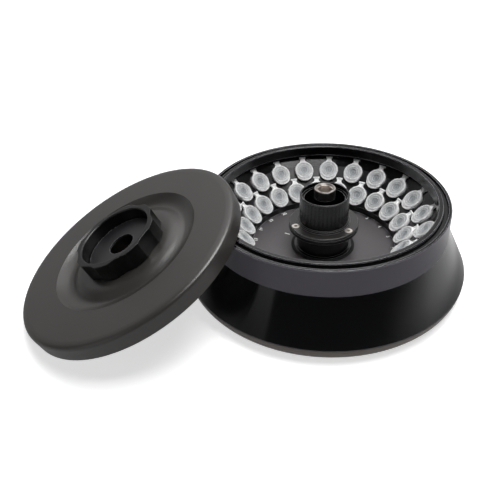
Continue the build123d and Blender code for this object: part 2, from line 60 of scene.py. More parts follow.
FLOOR_DROP = 0.2 * MM       # keeps the floor clear of the foot that stands on it
FLOOR_HEX = "#f4f4f4"
FLOOR_IN_GLOSS_HEX = "#7c7c7c"
FLOOR_ROUGH = 0.9
FLOOR_LIFT = 0.64           # what the eye gets on top of the lamps' light
FLOOR_FADE = (0.30, 0.90)   # metres from the rotor: from lit paper to plain white
FLOOR_GLOSS_LIFT = 0.24
FLOOR_CORNER_LIFT = 1.0
FLOOR_CORNER = (0.14, 0.18)  # x + y in metres: the paper behind and to the right is brighter in gloss
SOFT_BOXES = {              # place, size and watts
    "top_soft_box": ((0.15, 0.05, 1.0), (0.7, 0.6), 9.2),
    "back_soft_box": ((-0.3, 0.95, 1.05), (1.3, 0.6), 2.4),
    "side_soft_box": ((-0.95, -0.75, 0.45), (0.70, 0.60), 0.6),
}


def linear(text):
    """An sRGB hex colour as linear red, green, blue and alpha."""
    parts = [int(text[i:i + 2], 16) / 255.0 for i in (1, 3, 5)]
    return tuple(c / 12.92 if c <= 0.04045 else ((c + 0.055) / 1.055) ** 2.4 for c in parts) + (1.0,)


def add(tree, kind, inputs=None, **settings):
    """A node with its settings; an input is a value, or a socket to link from."""
    made = tree.nodes.new(kind)
    for name, value in settings.items():
        setattr(made, name, value)
    for key, value in (inputs or {}).items():
        if isinstance(value, bpy.types.NodeSocket):
            tree.links.new(value, made.inputs[key])
        else:
            made.inputs[key].default_value = value
    return made


def material(name):
    """A new material, with its tree and its shader."""
    made = bpy.data.materials.new(name)
    made.use_nodes = True
    return made, made.node_tree, made.node_tree.nodes["Principled BSDF"]


yaw_dir = Vector((math.sin(CAMERA_YAW), math.cos(CAMERA_YAW), 0.0))
ahead = yaw_dir * math.cos(CAMERA_PITCH) - Vector((0, 0, math.sin(CAMERA_PITCH)))
level_right = ahead.cross(Vector((0, 0, 1))).normalized()
level_up = level_right.cross(ahead)
right = level_right * math.cos(CAMERA_ROLL) + level_up * math.sin(CAMERA_ROLL)
up = -level_right * math.sin(CAMERA_ROLL) + level_up * math.cos(CAMERA_ROLL)
camera = bpy.data.objects.new("camera", bpy.data.cameras.new("camera"))
camera.data.sensor_width = SENSOR_MM
camera.data.lens = FOCAL_PX / PICTURE_PX * SENSOR_MM
camera.data.clip_start = CAMERA_NEAR
camera.matrix_world = (Matrix.Translation(CAMERA_PLACE)
                       @ Matrix((right, up, -ahead)).transposed().to_4x4())
bpy.context.scene.collection.objects.link(camera)
bpy.context.scene.camera = camera
bpy.context.scene.view_settings.view_transform = "Standard"

world = bpy.data.worlds.new("sky")
world.use_nodes = True
bpy.context.scene.world = world
sky = world.node_tree
ray = add(sky, "ShaderNodeLightPath")
towards = add(sky, "ShaderNodeTexCoord")
heading = add(sky, "ShaderNodeSeparateXYZ", {0: towards.outputs["Generated"]})
wall = add(sky, "ShaderNodeMapRange",
           {0: heading.outputs["Y"], 1: WALL_RISE[0], 2: WALL_RISE[1],
            "To Min": SKY_LIGHT, "To Max": WALL_IN_GLOSS}, interpolation_type="SMOOTHSTEP")
around = add(sky, "ShaderNodeMix",
             {"Factor": ray.outputs["Is Glossy Ray"], "A": SKY_LIGHT, "B": wall.outputs[0]},
             data_type="FLOAT")
level = add(sky, "ShaderNodeMix",
            {"Factor": ray.outputs["Is Camera Ray"], "A": around.outputs[0], "B": 1.0},
            data_type="FLOAT")
sky.nodes["Background"].inputs["Color"].default_value = linear(WHITE_HEX)
sky.links.new(level.outputs[0], sky.nodes["Background"].inputs["Strength"])

# Uncoated white paper, matt: it shows no gloss, keeps the object's shadow and is white elsewhere.
paper, tree, shader = material("white_backdrop_paper")
ray = add(tree, "ShaderNodeLightPath")
tone = add(tree, "ShaderNodeMix",
           {"Factor": ray.outputs["Is Glossy Ray"], "A": linear(FLOOR_HEX),
            "B": linear(FLOOR_IN_GLOSS_HEX)}, data_type="RGBA")
spot = add(tree, "ShaderNodeTexCoord")
distance = add(tree, "ShaderNodeVectorMath", {0: spot.outputs["Object"]}, operation="LENGTH")
white = add(tree, "ShaderNodeMapRange",
            {0: distance.outputs["Value"], 1: FLOOR_FADE[0], 2: FLOOR_FADE[1],
             "To Min": FLOOR_LIFT, "To Max": 1.0})
in_view = add(tree, "ShaderNodeMath",
              {0: ray.outputs["Is Camera Ray"], 1: white.outputs[0]}, operation="MULTIPLY")
corner = add(tree, "ShaderNodeVectorMath",
             {0: spot.outputs["Object"], 1: (1.0, 1.0, 0.0)}, operation="DOT_PRODUCT")
bright_side = add(tree, "ShaderNodeMapRange",
                  {0: corner.outputs["Value"], 1: FLOOR_CORNER[0], 2: FLOOR_CORNER[1],
                   "To Min": FLOOR_GLOSS_LIFT, "To Max": FLOOR_CORNER_LIFT})
in_gloss = add(tree, "ShaderNodeMath",
               {0: ray.outputs["Is Glossy Ray"], 1: bright_side.outputs[0]}, operation="MULTIPLY")
lift = add(tree, "ShaderNodeMath", {0: in_view.outputs[0], 1: in_gloss.outputs[0]}, operation="ADD")
tree.links.new(tone.outputs[2], shader.inputs["Base Color"])
tree.links.new(lift.outputs[0], shader.inputs["Emission Strength"])
shader.inputs["Emission Color"].default_value = linear(WHITE_HEX)
shader.inputs["Roughness"].default_value = FLOOR_ROUGH
shader.inputs["Specular IOR Level"].default_value = 0.0
half = FLOOR_SIZE / 2
floor_mesh = bpy.data.meshes.new("floor")
floor_mesh.from_pydata([(-half, -half, 0), (half, -half, 0), (half, half, 0), (-half, half, 0)], [],
                       [(0, 1, 2, 3)])
floor_mesh.materials.append(paper)
floor = bpy.data.objects.new("floor", floor_mesh)
floor.location.z = -FLOOR_DROP
bpy.context.scene.collection.objects.link(floor)

for name, (place, size, watts) in SOFT_BOXES.items():
    lamp = bpy.data.lights.new(name, "AREA")
    lamp.shape = "RECTANGLE"
    lamp.size, lamp.size_y = size
    lamp.energy = watts
    box = bpy.data.objects.new(name, lamp)
    box.location = place
    box.rotation_euler = (-Vector(place)).to_track_quat("-Z", "Y").to_euler()
    bpy.context.scene.collection.objects.link(box)

# -------------------------------------------------------------------------------- rotor body
# One piece of aluminium, turned and drilled, then anodised black.  The flare below the band and the
# lips were cut finer and are glossy; the band and the bowl keep a satin cut that spreads the light.
BAND_FOOT_Z = 39.7 * MM
FOOT_TOP_Z = 11.0 * MM      # below here the side rounds in to the foot
FOOT_FADE = 0.95            # part of that height where the painted reflection of the floor is full
OUTSIDE_R = 80.2 * MM
LIP_INNER_R = 70.0 * MM
BOWL_FLOOR_R = 49.6 * MM
BOWL_FLOOR_HIGH = 19.2 * MM
BOWL_FLOOR_LOW = 18.0 * MM
FLARE_HEX = "#050608"
# Painted reflection of the floor, on the rounding in to the foot.
FOOT_FLOOR_REFLECTION_HEX = "#625b57"
BAND_HEX = "#53505a"
BOWL_FLOOR_HEX = "#555254"
BORE_CONE_HEX = "#060607"
RIM_EDGE_HIGHLIGHT_HEX = "#d2cfd8"    # painted highlight along the edges
SATIN_CUT = (0.30, 0.38)    # roughness
LIP_CUT = 0.15
FLARE_CUT = 0.13
BLOTCH_MM = 16.667          # soft differences in the anodising
EDGE_BREAK = 0.4 * MM       # how far the turned edges were broken
EDGE_TURN = (0.99, 0.90)    # cosines of the surface's turn: from no edge to all edge
EDGE_SAMPLES = 6
CUT_RING_MM = 0.35          # the lathe's feed, drawn coarser than its 0.1 mm
CUT_RING_H = 0.02 * MM
BODY_RING_DEPTH = 0.25
ANODISED_IOR = 1.55
BODY_STREAK = 0.6           # how much the rings of the cut draw a highlight out
ALONG_RINGS = 0.25          # quarter turn, so that the highlight is drawn across the rings


def from_axis(tree):
    """A point's place on the object, its place with no height, its distance from the axis, its height."""
    place = add(tree, "ShaderNodeTexCoord").outputs["Object"]
    split = add(tree, "ShaderNodeSeparateXYZ", {0: place})
    flat = add(tree, "ShaderNodeCombineXYZ", {0: split.outputs[0], 1: split.outputs[1]})
    radius = add(tree, "ShaderNodeVectorMath", {0: flat.outputs[0]}, operation="LENGTH")
    return place, flat.outputs[0], radius.outputs["Value"], split.outputs[2]


def turned_rings(tree, radius, depth):
    """Bump of a lathe's feed marks around the axis that radius is measured from, as a normal."""
    turns = add(tree, "ShaderNodeMath", {0: radius, 1: 2 * math.pi / (CUT_RING_MM * MM)},
                operation="MULTIPLY")
    ridge = add(tree, "ShaderNodeMath", {0: turns.outputs[0]}, operation="SINE")
    broken_edge = add(tree, "ShaderNodeBevel", {"Radius": EDGE_BREAK}, samples=EDGE_SAMPLES)
    return add(tree, "ShaderNodeBump", {"Height": ridge.outputs[0], "Strength": depth,
                                        "Distance": CUT_RING_H, "Normal": broken_edge.outputs[0]})


def edge_highlight_mask(tree, radius):
    """0 on the flats, 1 where the surface turns over an edge rounded by radius: where a painted edge
    highlight goes.
    """
    rounded = add(tree, "ShaderNodeBevel", {"Radius": radius}, samples=EDGE_SAMPLES)
    face = add(tree, "ShaderNodeNewGeometry")
    same = add(tree, "ShaderNodeVectorMath", {0: rounded.outputs[0], 1: face.outputs["Normal"]},
               operation="DOT_PRODUCT")
    edge = add(tree, "ShaderNodeMapRange",
               {0: same.outputs["Value"], 1: EDGE_TURN[0], 2: EDGE_TURN[1], 3: 0.0, 4: 1.0})
    return edge.outputs[0]


def finish(piece, surface, body=None):
    """Gives a piece its surface; a new piece also gets its body."""
    piece.data.materials.clear()
    piece.data.materials.append(surface)
    if body:
        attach(piece, body)


# Black anodised aluminium, turned: near black gloss on the flare and lips, dark violet grey satin on
# the band and the bowl's floor, a painted highlight as a thin pale line along each edge, and a paler
# painted reflection of the floor on the rounding in to the foot.
turned_black, tree, shader = material("black_anodised_aluminium_turned")
place, _, radius, height = from_axis(tree)
outside = add(tree, "ShaderNodeMath", {0: radius, 1: OUTSIDE_R}, operation="GREATER_THAN")
on_band = add(tree, "ShaderNodeMath", {0: height, 1: BAND_FOOT_Z}, operation="GREATER_THAN")
in_bowl = add(tree, "ShaderNodeMath", {0: radius, 1: BOWL_FLOOR_R}, operation="LESS_THAN")
low = add(tree, "ShaderNodeMath", {0: height, 1: BOWL_FLOOR_HIGH}, operation="LESS_THAN")
not_under = add(tree, "ShaderNodeMath", {0: height, 1: BOWL_FLOOR_LOW}, operation="GREATER_THAN")
low_in_bowl = add(tree, "ShaderNodeMath", {0: in_bowl.outputs[0], 1: low.outputs[0]},
                  operation="MULTIPLY")
on_floor = add(tree, "ShaderNodeMath", {0: low_in_bowl.outputs[0], 1: not_under.outputs[0]},
               operation="MULTIPLY")
# Painted reflection of the floor: the rounding in to the foot is paler.
foot_reflection = add(tree, "ShaderNodeMapRange",
              {0: height, 1: FOOT_FADE * FOOT_TOP_Z, 2: FOOT_TOP_Z, 3: 1.0, 4: 0.0})
lower = add(tree, "ShaderNodeMix",
            {"Factor": foot_reflection.outputs[0], "A": linear(FLARE_HEX), "B": linear(FOOT_FLOOR_REFLECTION_HEX)},
            data_type="RGBA")
side = add(tree, "ShaderNodeMix",
           {"Factor": on_band.outputs[0], "A": lower.outputs[2], "B": linear(BAND_HEX)},
           data_type="RGBA")
shell = add(tree, "ShaderNodeMix",
            {"Factor": outside.outputs[0], "A": linear(BORE_CONE_HEX), "B": side.outputs[2]},
            data_type="RGBA")
colour = add(tree, "ShaderNodeMix",
             {"Factor": on_floor.outputs[0], "A": shell.outputs[2], "B": linear(BOWL_FLOOR_HEX)},
             data_type="RGBA")
# Painted highlight: a pale line along every edge.
with_edge_highlight = add(tree, "ShaderNodeMix",
            {"Factor": edge_highlight_mask(tree, EDGE_BREAK), "A": colour.outputs[2],
             "B": linear(RIM_EDGE_HIGHLIGHT_HEX)}, data_type="RGBA")
blotch = add(tree, "ShaderNodeTexNoise",
             {"Vector": place, "Scale": 1 / (BLOTCH_MM * MM), "Detail": 4.0})
satin = add(tree, "ShaderNodeMapRange",
            {0: blotch.outputs["Fac"], "To Min": SATIN_CUT[0], "To Max": SATIN_CUT[1]})
on_flare = add(tree, "ShaderNodeMath", {0: outside.outputs[0], 1: on_band.outputs[0]},
               operation="SUBTRACT")
by_rim = add(tree, "ShaderNodeMath", {0: radius, 1: LIP_INNER_R}, operation="GREATER_THAN")
on_lips = add(tree, "ShaderNodeMath", {0: by_rim.outputs[0], 1: outside.outputs[0]},
              operation="SUBTRACT")
side_cut = add(tree, "ShaderNodeMix",
               {"Factor": on_flare.outputs[0], "A": satin.outputs[0], "B": FLARE_CUT},
               data_type="FLOAT")
cut = add(tree, "ShaderNodeMix",
          {"Factor": on_lips.outputs[0], "A": side_cut.outputs[0], "B": LIP_CUT},
          data_type="FLOAT")
rings = turned_rings(tree, radius, BODY_RING_DEPTH)
tangent = add(tree, "ShaderNodeTangent", direction_type="RADIAL", axis="Z")
tree.links.new(with_edge_highlight.outputs[2], shader.inputs["Base Color"])
tree.links.new(cut.outputs[0], shader.inputs["Roughness"])
tree.links.new(rings.outputs[0], shader.inputs["Normal"])
tree.links.new(tangent.outputs[0], shader.inputs["Tangent"])
shader.inputs["IOR"].default_value = ANODISED_IOR
shader.inputs["Anisotropic"].default_value = BODY_STREAK
shader.inputs["Anisotropic Rotation"].default_value = ALONG_RINGS
finish(nodes["rotor_body"], turned_black)

# ------------------------------------------------------------------------------ rubber seals
# Extruded nitrile rubber rings: one is pushed into the groove between the rim's two lips, one lies on
# the bowl's floor round the neck's foot, and one under the lid round the knob's hollow screw.
RUBBER_HEX = "#070708"
RUBBER_IOR = 1.52
RUBBER_ROUGH = (0.55, 0.75)
RUBBER_GRAIN_MM = 0.45455   # filler grains, drawn coarser than their 0.05 mm
RUBBER_GRAIN_H = 0.05 * MM
RUBBER_GRAIN_DEPTH = 0.25

# Nitrile rubber, extruded: dull black with a fine grain that keeps its highlight broad and weak.
rubber, tree, shader = material("black_nitrile_rubber_extruded")
place = add(tree, "ShaderNodeTexCoord").outputs["Object"]
grain = add(tree, "ShaderNodeTexNoise",
            {"Vector": place, "Scale": 1 / (RUBBER_GRAIN_MM * MM), "Detail": 2.0})
skin = add(tree, "ShaderNodeBump",
           {"Height": grain.outputs["Fac"], "Strength": RUBBER_GRAIN_DEPTH,
            "Distance": RUBBER_GRAIN_H})
dull = add(tree, "ShaderNodeMapRange",
           {0: grain.outputs["Fac"], "To Min": RUBBER_ROUGH[0], "To Max": RUBBER_ROUGH[1]})
shader.inputs["Base Color"].default_value = linear(RUBBER_HEX)
shader.inputs["IOR"].default_value = RUBBER_IOR
tree.links.new(dull.outputs[0], shader.inputs["Roughness"])
tree.links.new(skin.outputs[0], shader.inputs["Normal"])
for name in ("rim_seal", "foot_ring", "lid_seal"):
    finish(nodes[name], rubber)

# ------------------------------------------------------------------------------- micro tubes
# Polypropylene tubes of 1.5 ml, injection moulded with a cap on a thin hinge that folds outwards.
# The cap is pressed home; its hollow plug shows through the milky top as rings round a middle darkened
# by painted shade of the hollow below.
TUBES_PER_ROW = 22
TUBE_TILT = math.radians(40.0)
ROW_PHASE = -1.8            # degrees
ROWS = {                    # the caps' radius and height on the rotor, and the shift along the row
    "outer": (65.4 * MM, 42.6 * MM, 0.0),
    "inner": (53.6 * MM, 31.2 * MM, -0.5),
}
CAP_RISE = 3.6
CAP_R = 7.0
TUBE_SECTION = [            # radius and height in mm, from the cap's middle round to the hollow's foot
    (0.0, 2.75), (0.9, 2.75), (1.0, 2.65), (1.2, 2.65), (1.3, 2.75), (2.4, 2.85), (2.6, 3.1),
    (2.75, 3.25), (3.0, 3.25), (3.1, 3.15), (3.9, 3.2), (4.05, 3.4), (4.35, 3.4), (4.45, 3.25),
    (5.3, 3.25), (5.6, 3.5), (5.8, 3.6), (6.5, 3.6), (6.85, 3.45), (CAP_R, 3.15), (CAP_R, 1.6),
    (6.9, 1.5), (6.3, 1.5), (6.3, 1.35), (6.5, 1.25), (6.5, 0.1), (6.4, 0.0), (5.35, 0.0),
    (5.35, -17.0), (3.6, -25.5), (1.9, -31.5), (1.35, -32.85), (0.0, -33.4)]
HOLLOW_SECTION = [
    (0.0, 1.8), (3.2, 1.8), (3.3, 1.7), (3.3, -1.0), (4.35, -1.0), (4.35, -17.0), (2.8, -25.5),
    (1.2, -31.5), (0.0, -32.4)]
TUBE_SIDES = 48
TUBE_SHARP = 35.0           # degrees of turn that make a crisp edge
STRAP_HALF = 1.7
STRAP_RIB_W = 0.45
STRAP_ROOT = (2.9, 6.3)     # where the flared root leaves the cap: across and along the strap
STRAP_NECK_REACH = 7.7
STRAP_REACH = 9.8
STRAP_Z = (2.0, 2.5)
STRAP_RIB_Z = (1.8, 3.1)
FOLD_HALF = 2.4
FOLD_REACH = 10.3
FOLD_R = 0.7
FOLD_Z = 2.45
FOLD_SIDES = 12
TAB_R = 6.4
TAB_SHIFT = 2.0
TAB_ROOT_R = 6.6
TAB_HALF_ANGLE = 71.0       # degrees, where the lip's curve meets the cap's, from the lip's own centre
TAB_STEPS = 12
TAB_Z = (1.75, 3.2)
MILKY_STOPS = [             # tone from the cap's middle to its edge: painted shade where thin walls show the hollow
    (0.0, "#aeb3b8"), (0.13, "#b7bcc1"), (0.16, "#e5e7e8"), (0.20, "#b7bcc1"), (0.34, "#c5cace"),
    (0.40, "#f7f8f8"), (0.45, "#d2d6d8"), (0.56, "#d8dbdd"), (0.61, "#fbfcfc"), (0.66, "#dcdfe0"),
    (0.76, "#e5e7e8"), (0.84, "#f5f6f7"), (1.0, "#fafafa")]
# White of the thick plastic at the cap's edge, with a painted highlight on it.
THICK_EDGE_AND_HIGHLIGHT_HEX = "#ffffff"
EDGE_MM = 0.55              # width of the cap's and lip's white edge: thick plastic, painted highlight
CLOUD_MM = 1.4286           # flow marks of the moulding
CLOUD_SPAN = (0.35, 0.65)
MOTTLE = (0.82, 1.12)       # how the flow marks darken and lighten the tone
CLEAR_SPAN = (0.2, 0.9)     # part of the cap's radius over which it turns from clearer to milkier
CLEARNESS = (0.42, 0.16)
FROST = (0.30, 0.45)        # roughness
RING_MM = 0.42              # turning marks of the mould, drawn coarser than 0.05 mm
RING_H = 0.04 * MM
RING_DEPTH = 0.5
MILKY_IOR = 1.49


def spin(mesh, section, sides, flip=False):
    """Adds a section, turned about Z, to a mesh; a point on the axis becomes one vertex."""
    rings = []
    for r, z in section:
        if r == 0.0:
            rings.append([mesh.verts.new((0, 0, z * MM))] * sides)
        else:
            rings.append([
                mesh.verts.new((r * MM * math.cos(a), r * MM * math.sin(a), z * MM))
                for a in (2 * math.pi * k / sides for k in range(sides))])
    for first, second in zip(rings, rings[1:]):
        for k in range(sides):
            n = (k + 1) % sides
            corners = list(dict.fromkeys((first[k], second[k], second[n], first[n])))
            mesh.faces.new(corners[::-1] if flip else corners)


def join_ends(mesh, first, second):
    """Adds the closed form between two loops of points, with both its ends."""
    mesh.faces.new(second)
    mesh.faces.new(first[::-1])
    for k in range(len(first)):
        n = (k + 1) % len(first)
        mesh.faces.new((first[k], first[n], second[n], second[k]))


def slab(mesh, outline, low, high):
    """Adds a flat plate with the given outline, in mm, between two heights."""
    bottom, top = ([mesh.verts.new((x * MM, y * MM, z * MM)) for x, y in outline]
                   for z in (low, high))
    join_ends(mesh, bottom, top)


def finished_mesh(mesh, name):
    """A bmesh as mesh data with smooth faces and sharp edges where the surface turns."""
    bmesh.ops.recalc_face_normals(mesh, faces=mesh.faces)
    data = bpy.data.meshes.new(name)
    mesh.to_mesh(data)
    mesh.free()
    data.shade_smooth()
    data.set_sharp_from_angle(angle=math.radians(TUBE_SHARP))
    return data


shape = bmesh.new()
spin(shape, TUBE_SECTION, TUBE_SIDES)
spin(shape, HOLLOW_SECTION, TUBE_SIDES, flip=True)
slab(shape, [(-STRAP_ROOT[0], STRAP_ROOT[1]), (STRAP_ROOT[0], STRAP_ROOT[1]),
             (STRAP_HALF, STRAP_NECK_REACH), (-STRAP_HALF, STRAP_NECK_REACH)], *STRAP_RIB_Z)
for left, width, heights in ((-STRAP_HALF, 2 * STRAP_HALF, STRAP_Z),
                             (-STRAP_HALF, STRAP_RIB_W, STRAP_RIB_Z),
                             (STRAP_HALF - STRAP_RIB_W, STRAP_RIB_W, STRAP_RIB_Z)):
    slab(shape, [(left, STRAP_NECK_REACH), (left + width, STRAP_NECK_REACH),
                 (left + width, STRAP_REACH), (left, STRAP_REACH)], *heights)
fold = [(FOLD_REACH + FOLD_R * math.cos(a), FOLD_Z + FOLD_R * math.sin(a))
        for a in (2 * math.pi * k / FOLD_SIDES for k in range(FOLD_SIDES))]
left_end, right_end = ([shape.verts.new((x * MM, y * MM, z * MM)) for y, z in fold]
                       for x in (-FOLD_HALF, FOLD_HALF))
join_ends(shape, left_end, right_end)
sweep = [math.radians(TAB_HALF_ANGLE) * (2 * k / TAB_STEPS - 1) for k in range(TAB_STEPS + 1)]
tab = [(TAB_R * math.sin(a), -TAB_SHIFT - TAB_R * math.cos(a)) for a in sweep]
tab += [(TAB_ROOT_R * math.sin(a), -TAB_ROOT_R * math.cos(a)) for a in sweep[::-1]]
slab(shape, tab, *TAB_Z)
tube_mesh = finished_mesh(shape, "micro_tube")

# Natural polypropylene, moulded: milky, clearer where it is thin, and white along every edge, partly
# the whiter thick plastic and partly a painted highlight.
milky, tree, shader = material("natural_polypropylene_moulded")
place, flat, radius, _ = from_axis(tree)
from_tab = add(tree, "ShaderNodeVectorMath", {0: flat, 1: (0.0, TAB_SHIFT * MM, 0.0)},
               operation="ADD")
tab_radius = add(tree, "ShaderNodeVectorMath", {0: from_tab.outputs[0]}, operation="LENGTH")
in_cap = add(tree, "ShaderNodeMath", {0: CAP_R * MM, 1: radius}, operation="SUBTRACT")
in_tab = add(tree, "ShaderNodeMath", {0: TAB_R * MM, 1: tab_radius.outputs["Value"]},
             operation="SUBTRACT")
inside = add(tree, "ShaderNodeMath", {0: in_cap.outputs[0], 1: in_tab.outputs[0]},
             operation="MAXIMUM")
edge = add(tree, "ShaderNodeMapRange",
           {0: inside.outputs[0], 1: EDGE_MM * MM, 2: 0.5 * EDGE_MM * MM, 3: 0.0, 4: 1.0})
cloud = add(tree, "ShaderNodeTexNoise",
            {"Vector": place, "Scale": 1 / (CLOUD_MM * MM), "Detail": 3.0})
spread = add(tree, "ShaderNodeMath", {0: radius, 1: 1 / (CAP_R * MM)}, operation="MULTIPLY")
tones = add(tree, "ShaderNodeValToRGB", {"Fac": spread.outputs[0]})
for stop, _ in MILKY_STOPS[1:-1]:
    tones.color_ramp.elements.new(stop)
for element, (_, text) in zip(tones.color_ramp.elements, MILKY_STOPS):
    element.color = linear(text)
mottle = add(tree, "ShaderNodeMapRange",
             {0: cloud.outputs["Fac"], 1: CLOUD_SPAN[0], 2: CLOUD_SPAN[1],
              3: MOTTLE[0], 4: MOTTLE[1]})
mottled = add(tree, "ShaderNodeVectorMath", {0: tones.outputs["Color"], 1: mottle.outputs[0]},
              operation="MULTIPLY")
# Painted highlight, with the whiter thick plastic, along the cap's and lip's edge.
tint = add(tree, "ShaderNodeMix",
           {"Factor": edge.outputs[0], "A": mottled.outputs[0], "B": linear(THICK_EDGE_AND_HIGHLIGHT_HEX)},
           data_type="RGBA")
clear = add(tree, "ShaderNodeMapRange",
            {0: spread.outputs[0], 1: CLEAR_SPAN[0], 2: CLEAR_SPAN[1],
             3: CLEARNESS[0], 4: CLEARNESS[1]})
see_through = add(tree, "ShaderNodeMix",
                  {"Factor": edge.outputs[0], "A": clear.outputs[0], "B": 0.0}, data_type="FLOAT")
turns = add(tree, "ShaderNodeMath", {0: radius, 1: 2 * math.pi / (RING_MM * MM)},
            operation="MULTIPLY")
ridge = add(tree, "ShaderNodeMath", {0: turns.outputs[0]}, operation="SINE")
relief = add(tree, "ShaderNodeMath", {0: ridge.outputs[0], 1: cloud.outputs["Fac"]},
             operation="ADD")
frost = add(tree, "ShaderNodeMapRange",
            {0: cloud.outputs["Fac"], "To Min": FROST[0], "To Max": FROST[1]})
skin = add(tree, "ShaderNodeBump",
           {"Height": relief.outputs[0], "Strength": RING_DEPTH, "Distance": RING_H})
tree.links.new(tint.outputs[2], shader.inputs["Base Color"])
tree.links.new(see_through.outputs[0], shader.inputs["Transmission Weight"])
tree.links.new(frost.outputs[0], shader.inputs["Roughness"])
tree.links.new(skin.outputs[0], shader.inputs["Normal"])
shader.inputs["IOR"].default_value = MILKY_IOR
tube_mesh.materials.append(milky)

for row, (cap_r, cap_z, shift) in ROWS.items():
    seat_r = cap_r + CAP_RISE * MM * math.sin(TUBE_TILT)
    seat_z = cap_z - CAP_RISE * MM * math.cos(TUBE_TILT)
    for k in range(TUBES_PER_ROW):
        azimuth = math.radians(90.0 + ROW_PHASE + (k + shift) * 360.0 / TUBES_PER_ROW)
        c, s = math.cos(azimuth), math.sin(azimuth)
        lean = math.sin(TUBE_TILT)
        out_of_bore = Vector((-lean * c, -lean * s, math.cos(TUBE_TILT)))
        across = Vector((s, -c, 0))
        hinge_side = out_of_bore.cross(across)
        turn = Matrix((across, hinge_side, out_of_bore)).transposed().to_4x4()
        tube = bpy.data.objects.new(f"micro_tube_{row}_{k + 1:02d}", tube_mesh)
        tube.matrix_world = Matrix.Translation((seat_r * c, seat_r * s, seat_z)) @ turn
        bpy.context.scene.collection.objects.link(tube)
        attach(tube, "rotor")
        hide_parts(f"tube_{row}_{k + 1:02d}")

# ------------------------------------------------------------------------------ place numbers
# The numbers of the 22 places in each row, and a plain index mark beside the hub, printed on the
# bowl's floor in white ink by a soft pad.
NUMBER_R = 47.2 * MM
NUMBER_H = 2.6 * MM
DIGIT_PART = 0.7            # a digit's height, as a part of the font's size
STROKE_SPREAD = 0.17 * MM   # how far the ink spread
BOWL_FLOOR_Z = 18.8 * MM
INK_T = 0.03 * MM
TICK_HEADING = math.radians(158.0)
TICK_R = (25.5 * MM, 29.5 * MM)
TICK_W = 0.9 * MM
INK_HEX = "#fbfbfa"
INK_ROUGH = (0.45, 0.65)
INK_GRAIN_MM = 0.55556      # pits in the ink, drawn coarser than their 0.1 mm

# Pad printing ink: flat white, a little duller in its pits.
ink, tree, shader = material("white_ink_pad_printed")
place = add(tree, "ShaderNodeTexCoord").outputs["Object"]
pits = add(tree, "ShaderNodeTexNoise",
           {"Vector": place, "Scale": 1 / (INK_GRAIN_MM * MM), "Detail": 2.0})
tone = add(tree, "ShaderNodeMapRange",
           {0: pits.outputs["Fac"], "To Min": INK_ROUGH[0], "To Max": INK_ROUGH[1]})
shader.inputs["Base Color"].default_value = linear(INK_HEX)
tree.links.new(tone.outputs[0], shader.inputs["Roughness"])

printed = bmesh.new()
for k in range(TUBES_PER_ROW):
    words = bpy.data.curves.new("number", "FONT")
    words.body = str(k + 1)
    words.size = NUMBER_H / DIGIT_PART
    words.align_x = "CENTER"
    words.align_y = "CENTER"
    words.offset = STROKE_SPREAD
    words.extrude = INK_T / 2
    drawn = bpy.data.objects.new("number", words)
    bpy.context.scene.collection.objects.link(drawn)
    bpy.context.view_layer.update()
    shown = drawn.evaluated_get(bpy.context.evaluated_depsgraph_get())
    data = bpy.data.meshes.new_from_object(shown)
    azimuth = math.radians(90.0 + ROW_PHASE - (k + 0.5) * 360.0 / TUBES_PER_ROW)
    spot = (NUMBER_R * math.cos(azimuth), NUMBER_R * math.sin(azimuth), BOWL_FLOOR_Z + INK_T / 2)
    data.transform(Matrix.Translation(spot) @ Matrix.Rotation(azimuth - math.pi / 2, 4, "Z"))
    printed.from_mesh(data)
    bpy.data.objects.remove(drawn)
    bpy.data.curves.remove(words)
    bpy.data.meshes.remove(data)
outwards = Vector((math.cos(TICK_HEADING), math.sin(TICK_HEADING), 0))
sideways = Vector((-math.sin(TICK_HEADING), math.cos(TICK_HEADING), 0))
ink_top = Vector((0, 0, BOWL_FLOOR_Z + INK_T))
printed.faces.new([
    printed.verts.new(outwards * r + sideways * t * TICK_W / 2 + ink_top)
    for r, t in ((TICK_R[0], -1), (TICK_R[1], -1), (TICK_R[1], 1), (TICK_R[0], 1))])
numbers = bpy.data.objects.new("place_numbers", finished_mesh(printed, "place_numbers"))
bpy.context.scene.collection.objects.link(numbers)
finish(numbers, ink, "rotor")

# ---------------------------------------------------------------------------------------- hub
# Neck, ring nut, post and threaded collar of aluminium, turned and anodised.  Three screws hold the
# collar's flange on the neck; the flange's coarser cut looks grey beside the black collar.
COLLAR_HEX = "#040505"
# Painted highlight along the hub's edges.
COLLAR_EDGE_HIGHLIGHT_HEX = "#98989a"
FLANGE_HEX = "#2c2b2a"
FLANGE_FOOT_Z = 36.0 * MM
COLLAR_R = 16.9 * MM
HUB_CUT = (0.20, 0.30)      # roughness
HUB_BLOTCH_MM = 8.3333
HUB_RING_DEPTH = 0.2
HUB_STREAK = 0.5

# Black anodised aluminium, fine turned: deep black with upright streaks of light, and a crisp painted
# highlight along its edges.
hub_black, tree, shader = material("black_anodised_aluminium_fine_turned")
place, _, radius, height = from_axis(tree)
wide = add(tree, "ShaderNodeMath", {0: radius, 1: COLLAR_R}, operation="GREATER_THAN")
high = add(tree, "ShaderNodeMath", {0: height, 1: FLANGE_FOOT_Z}, operation="GREATER_THAN")
flange = add(tree, "ShaderNodeMath", {0: wide.outputs[0], 1: high.outputs[0]},
             operation="MULTIPLY")
colour = add(tree, "ShaderNodeMix",
             {"Factor": flange.outputs[0], "A": linear(COLLAR_HEX), "B": linear(FLANGE_HEX)},
             data_type="RGBA")
